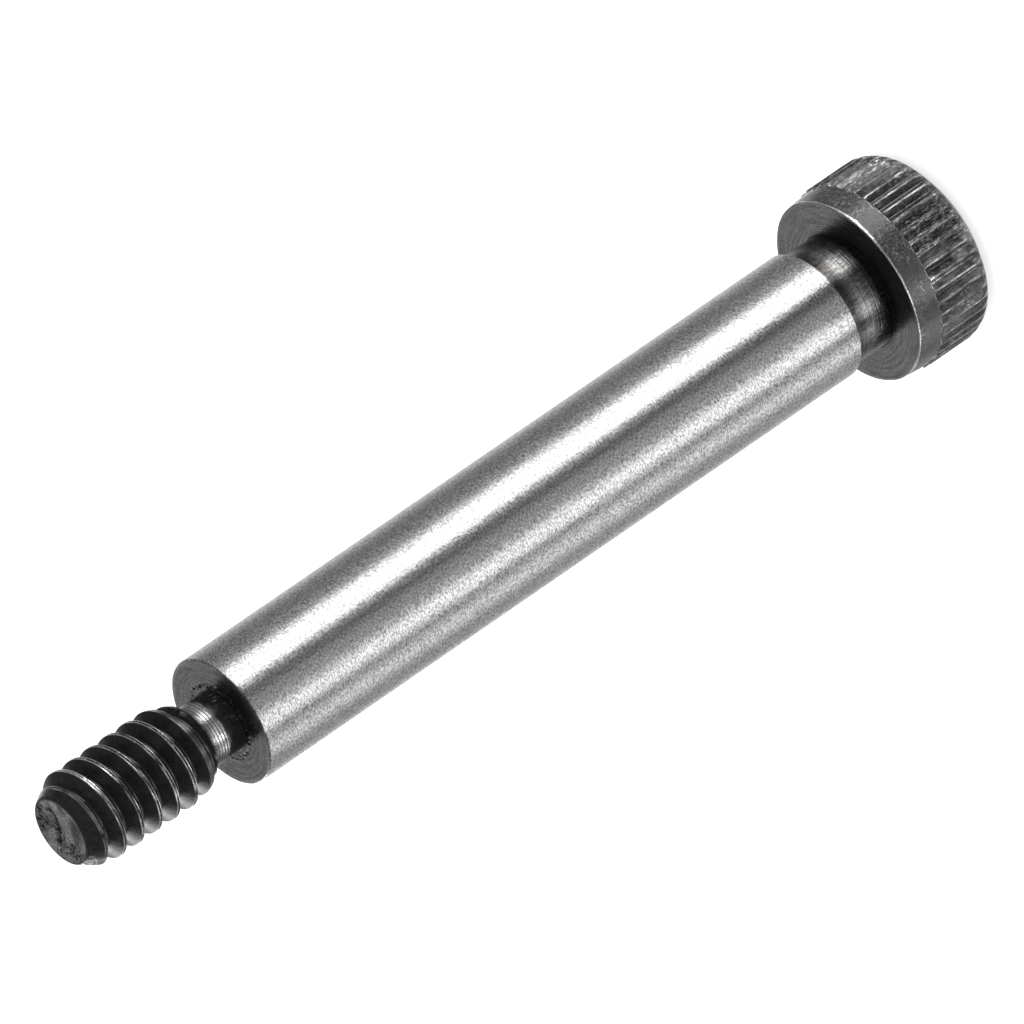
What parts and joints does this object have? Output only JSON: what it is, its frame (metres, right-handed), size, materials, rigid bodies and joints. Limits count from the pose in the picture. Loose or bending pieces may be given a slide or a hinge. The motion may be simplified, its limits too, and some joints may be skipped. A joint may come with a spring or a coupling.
{
  "type": "shoulder bolt",
  "caption": "Socket head shoulder bolt: a ground cylindrical shoulder between a straight-knurled head with a hexagon socket and a short, coarse right-hand thread.",
  "frame": {"origin": "centre of the flat end of the head, which the bolt stands on", "axes": "+Z along the bolt's axis, from the head to the tip of the thread; X and Y across it"},
  "size_m": [0.0094, 0.0094, 0.0524],
  "materials": {
    "steel": "shoulder ground bright; head, necks and thread dark from heat treatment"
  },
  "bodies": {
    "root": {"shoulder_bolt": "steel"}
  },
  "joints": []
}
